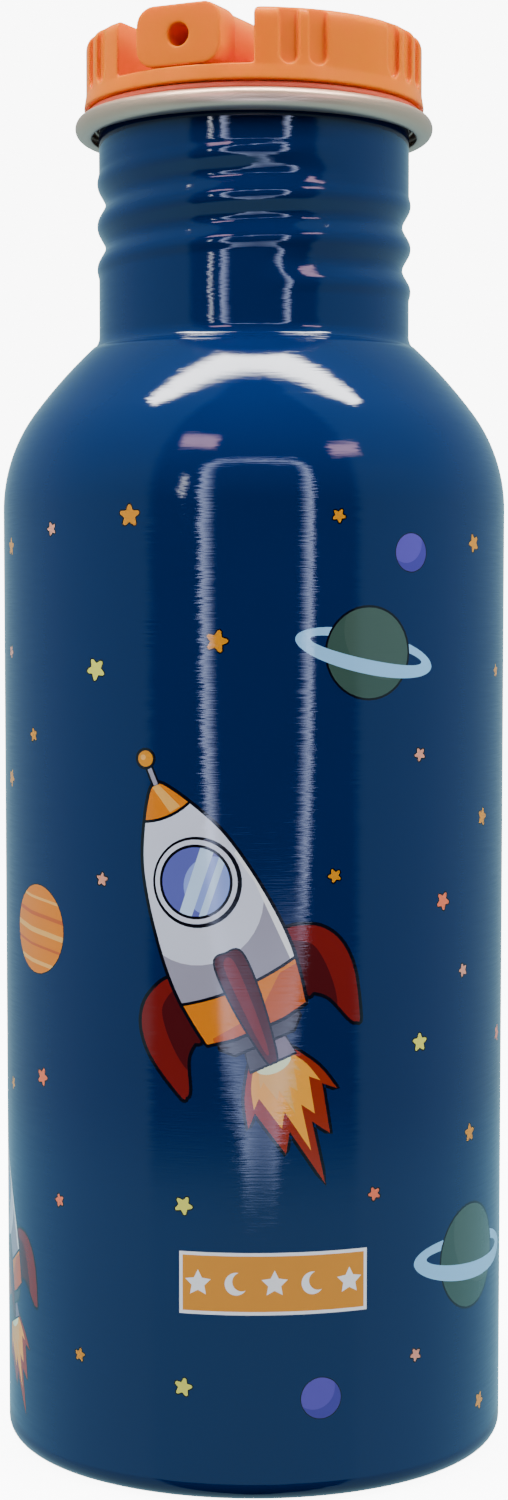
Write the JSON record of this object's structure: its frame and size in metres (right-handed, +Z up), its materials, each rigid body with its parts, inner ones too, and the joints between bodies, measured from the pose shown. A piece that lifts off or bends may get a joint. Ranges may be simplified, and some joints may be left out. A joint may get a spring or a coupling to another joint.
{
  "type": "kids water bottle",
  "caption": "Single-wall steel drinking bottle with a formed-thread neck, a rolled bare lip, and a screw-in lid with a fold-down spout and straw.",
  "frame": {"origin": "centre of the foot, on the plane the bottle stands on", "axes": "+Z up the bottle's axis, -Y the way the folded spout points, X along the spout's hinge"},
  "size_m": [0.0706, 0.0706, 0.1972],
  "materials": {
    "painted_steel": "glossy dark blue paint with a printed space pattern",
    "bare_steel": "bare satin stainless steel",
    "orange_plastic": "smooth moulded orange polypropylene, slightly translucent",
    "red_silicone": "matt reddish silicone",
    "clear_silicone": "milky silicone",
    "straw_plastic": "frosted polypropylene tube"
  },
  "bodies": {
    "bottle": {"bottle_body": "painted_steel", "bottle_base": "bare_steel", "steel_lip": "bare_steel"},
    "gasket": {"lid_gasket": "red_silicone"},
    "lid": {"lid_shell": "orange_plastic", "lid_plug": "orange_plastic", "spout_seal": "clear_silicone", "straw_sleeve": "clear_silicone", "straw": "straw_plastic", "vent_valve": "clear_silicone"},
    "spout": {"spout": "orange_plastic"}
  },
  "joints": [
    {"name": "lid_lift", "type": "slide", "parent": "bottle", "child": "gasket", "axis": [0, 0, 1], "range_m": [0, 0.0135]},
    {"name": "lid_turn", "type": "hinge", "parent": "gasket", "child": "lid", "pos_m": [0, 0, 0.187], "axis": [0, 0, 1], "range_deg": [0, 810]},
    {"name": "spout_flip", "type": "hinge", "parent": "lid", "child": "spout", "pos_m": [0, 0.006, 0.19315], "axis": [-1, 0, 0], "range_deg": [0, 90]}
  ],
  "couplings": [
    {"joint": "lid_lift", "follows": "lid_turn", "m_per_rad": 0.00095493}
  ]
}
